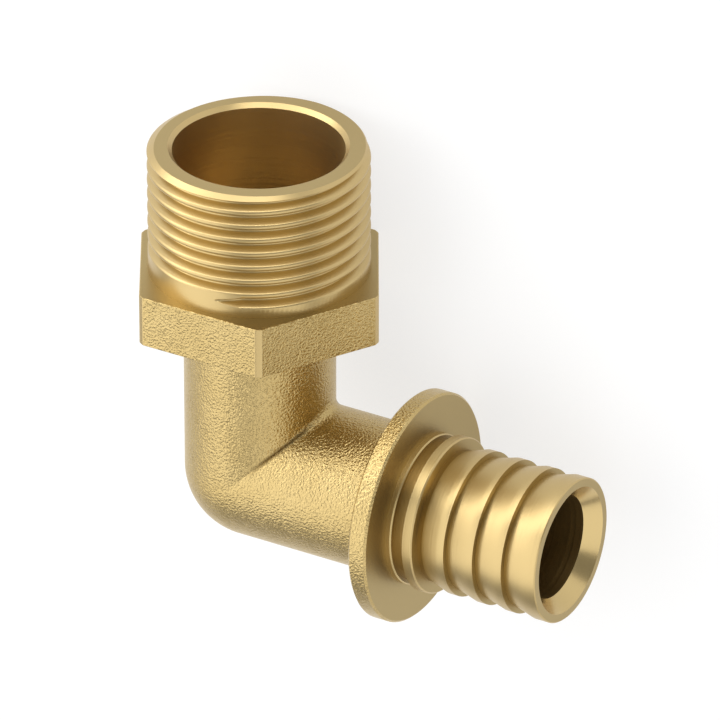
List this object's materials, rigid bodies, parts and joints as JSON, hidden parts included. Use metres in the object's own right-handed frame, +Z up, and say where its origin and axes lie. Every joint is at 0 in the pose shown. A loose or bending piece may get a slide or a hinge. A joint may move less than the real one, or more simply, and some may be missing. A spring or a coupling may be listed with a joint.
{
  "type": "press elbow fitting",
  "caption": "Brass right-angle elbow that joins a male pipe thread with a spanner hexagon to a ribbed press spigot behind a stop flange.",
  "frame": {"origin": "on the thread's axis, at the machined face of the hexagon where the thread begins", "axes": "+Y along the thread towards its open end, +X along the spigot towards its open end, +Z up from the flat and the rim on which the fitting lies"},
  "size_m": [0.058, 0.0565, 0.028],
  "materials": {
    "brass": "forged, with turned ends"
  },
  "bodies": {
    "root": {"elbow": "brass"}
  },
  "joints": []
}
